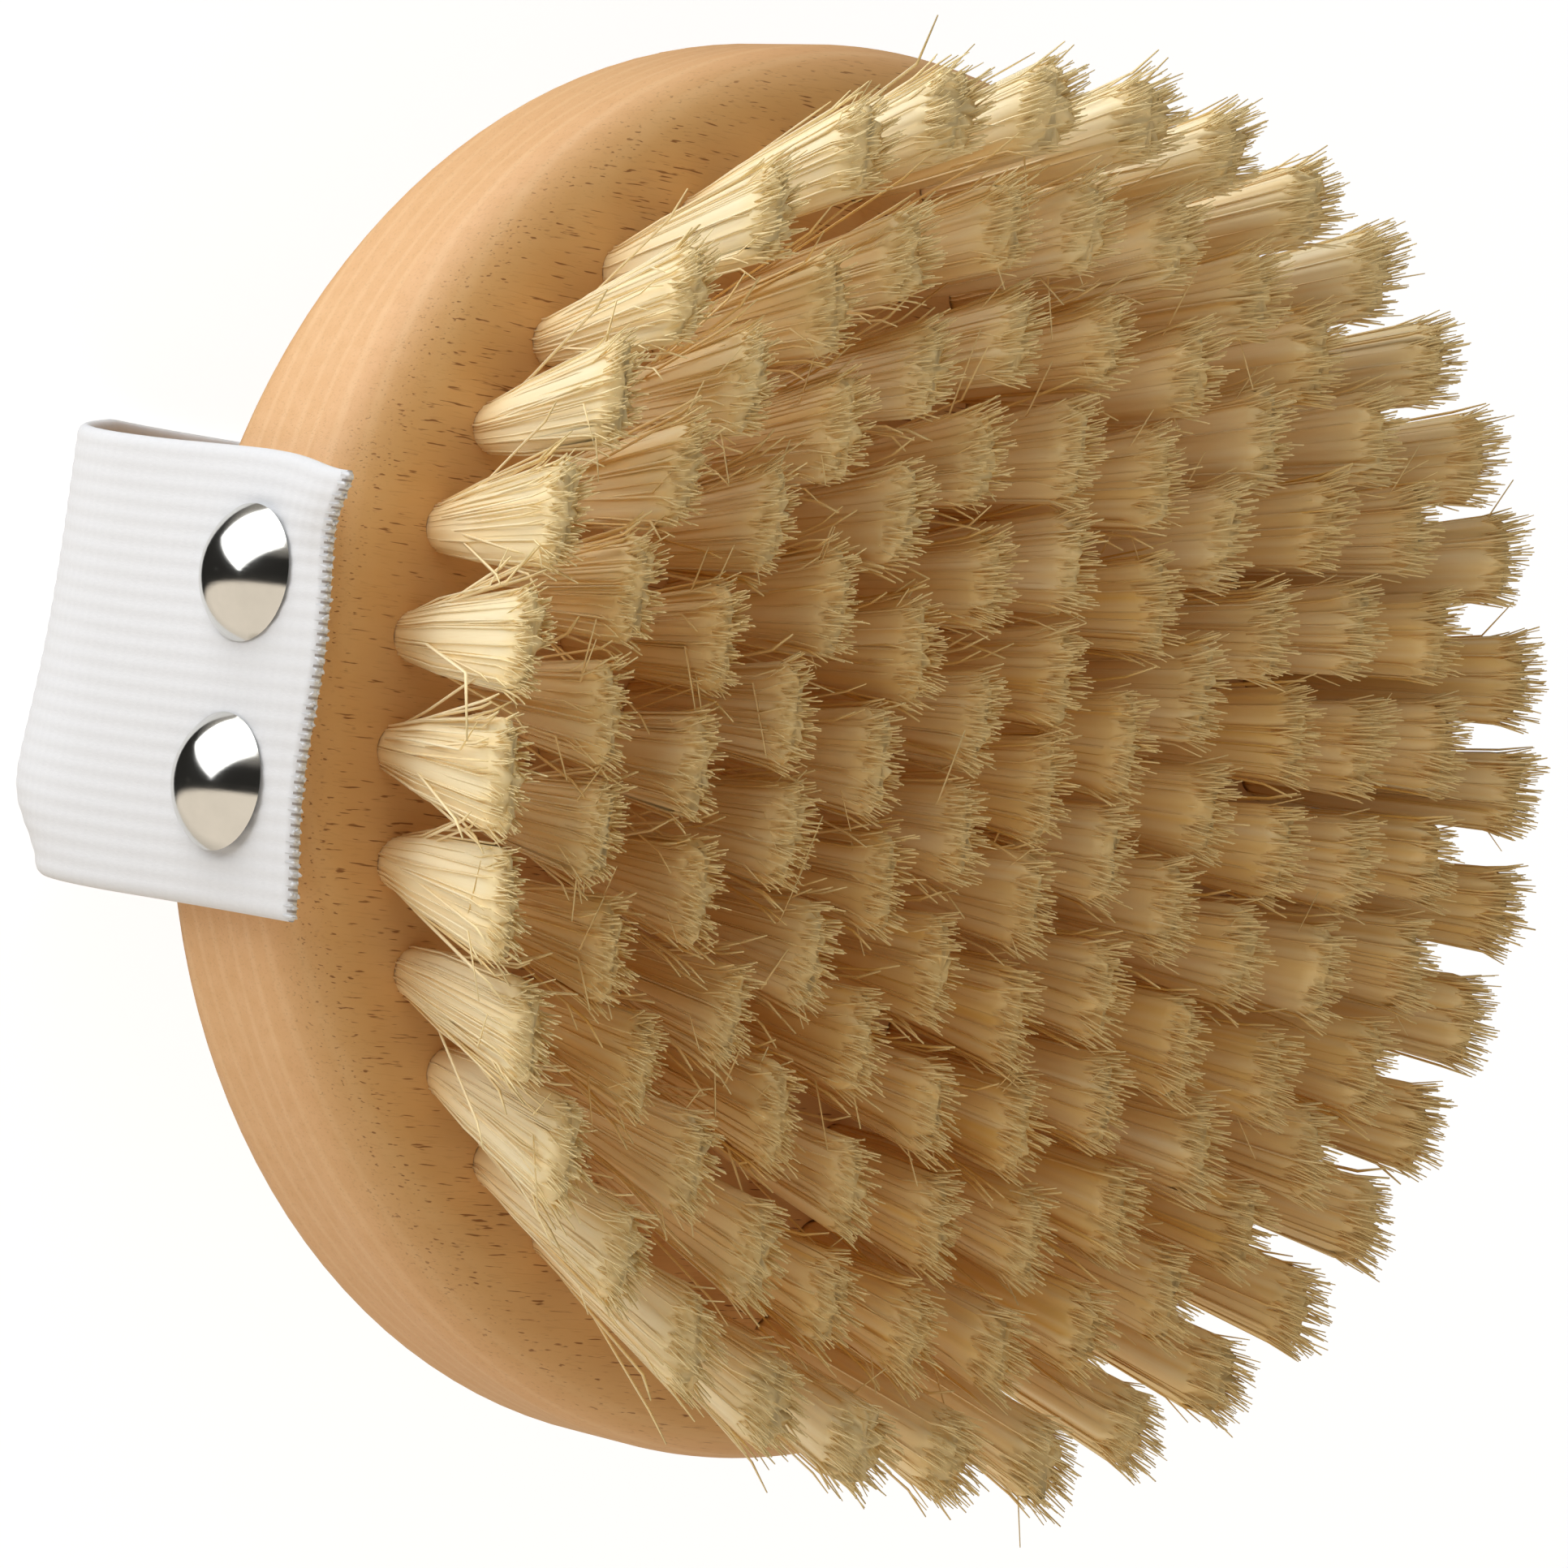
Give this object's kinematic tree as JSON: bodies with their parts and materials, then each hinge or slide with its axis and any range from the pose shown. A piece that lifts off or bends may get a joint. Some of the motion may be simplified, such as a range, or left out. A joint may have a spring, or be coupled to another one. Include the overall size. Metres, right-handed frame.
{
  "type": "body brush",
  "caption": "Round dry body brush: a beech block with rings of cream plant-fibre tufts on its face and a white webbing hand strap held by domed tacks.",
  "frame": {"origin": "middle of the footprint, on the surface that the brush lies on (the outer face of the strap's crown)", "axes": "+Z is the way the bristles point, X runs along the hand strap, Y runs across it"},
  "size_m": [0.1344, 0.125, 0.0736],
  "materials": {
    "beech_wood": "sanded, lightly oiled beech",
    "webbing": "white ribbed webbing",
    "nickel_cap": "polished nickel plate",
    "nail_steel": "drawn steel wire",
    "plant_fibre": "stiff cream plant fibre, cut ends",
    "anchor_wire": "flat drawn wire"
  },
  "bodies": {
    "root": {"wood_block": "beech_wood", "hand_strap": "webbing", "tack_cap_1": "nickel_cap", "tack_cap_2": "nickel_cap", "tack_cap_3": "nickel_cap", "tack_cap_4": "nickel_cap", "tack_nail_1": "nail_steel", "tack_nail_2": "nail_steel", "tack_nail_3": "nail_steel", "tack_nail_4": "nail_steel", "tuft_ring_1": "plant_fibre", "tuft_ring_2": "plant_fibre", "tuft_ring_3": "plant_fibre", "tuft_ring_4": "plant_fibre", "tuft_ring_5": "plant_fibre", "tuft_ring_6": "plant_fibre", "tuft_centre": "plant_fibre", "anchor_ring_1": "anchor_wire", "anchor_ring_2": "anchor_wire", "anchor_ring_3": "anchor_wire", "anchor_ring_4": "anchor_wire", "anchor_ring_5": "anchor_wire", "anchor_ring_6": "anchor_wire", "anchor_centre": "anchor_wire"}
  },
  "joints": []
}
